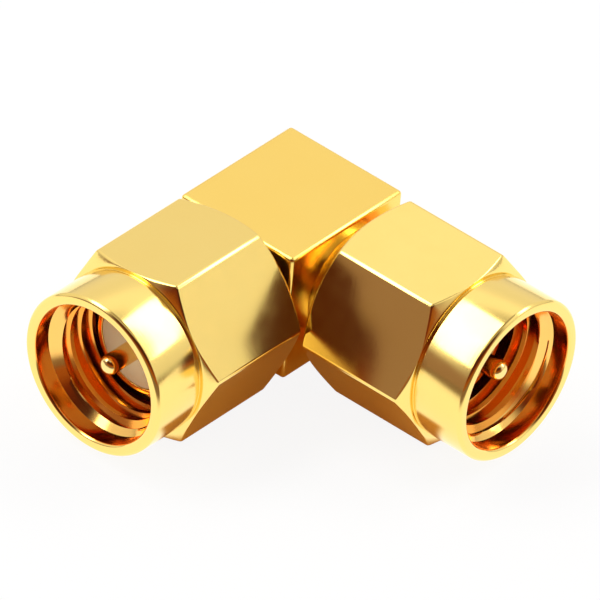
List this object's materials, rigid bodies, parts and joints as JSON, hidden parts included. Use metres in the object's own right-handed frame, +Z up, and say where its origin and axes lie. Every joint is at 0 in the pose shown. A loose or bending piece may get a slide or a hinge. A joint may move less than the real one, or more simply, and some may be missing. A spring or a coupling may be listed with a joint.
{
  "type": "right-angle coaxial adapter",
  "caption": "Gold-plated right-angle coaxial adapter: a square corner block joins two threaded plugs with hexagonal coupling nuts that spin freely.",
  "frame": {"origin": "on the corner block's underside, straight below the crossing of the two arms' axes", "axes": "+X along the left arm towards its mouth, +Y along the right arm towards its mouth, +Z up from the underside"},
  "size_m": [0.0176, 0.0176, 0.0085],
  "materials": {
    "plated_body": "gold-plated brass, milled and polished",
    "plated_nut": "gold-plated brass, bright turned",
    "plated_contact": "gold-plated contact, bright",
    "spring_ring": "spring bronze, plain",
    "insulator": "white fluoropolymer, waxy",
    "gasket": "orange silicone rubber, matte"
  },
  "bodies": {
    "adapter_body": {"corner_block": "plated_body", "rear_cap": "plated_body", "left_sleeve": "plated_body", "right_sleeve": "plated_body", "left_contact": "plated_contact", "right_contact": "plated_contact", "left_snap_ring": "spring_ring", "right_snap_ring": "spring_ring", "left_insulator": "insulator", "right_insulator": "insulator", "left_gasket": "gasket", "right_gasket": "gasket"},
    "left_nut": {"left_coupling_nut": "plated_nut"},
    "right_nut": {"right_coupling_nut": "plated_nut"}
  },
  "joints": [
    {"name": "left_nut_spin", "type": "hinge", "parent": "adapter_body", "child": "left_nut", "pos_m": [0.008, 0, 0.00325], "axis": [1, 0, 0], "continuous": true},
    {"name": "right_nut_spin", "type": "hinge", "parent": "adapter_body", "child": "right_nut", "pos_m": [0, 0.008, 0.00325], "axis": [0, 1, 0], "continuous": true}
  ]
}
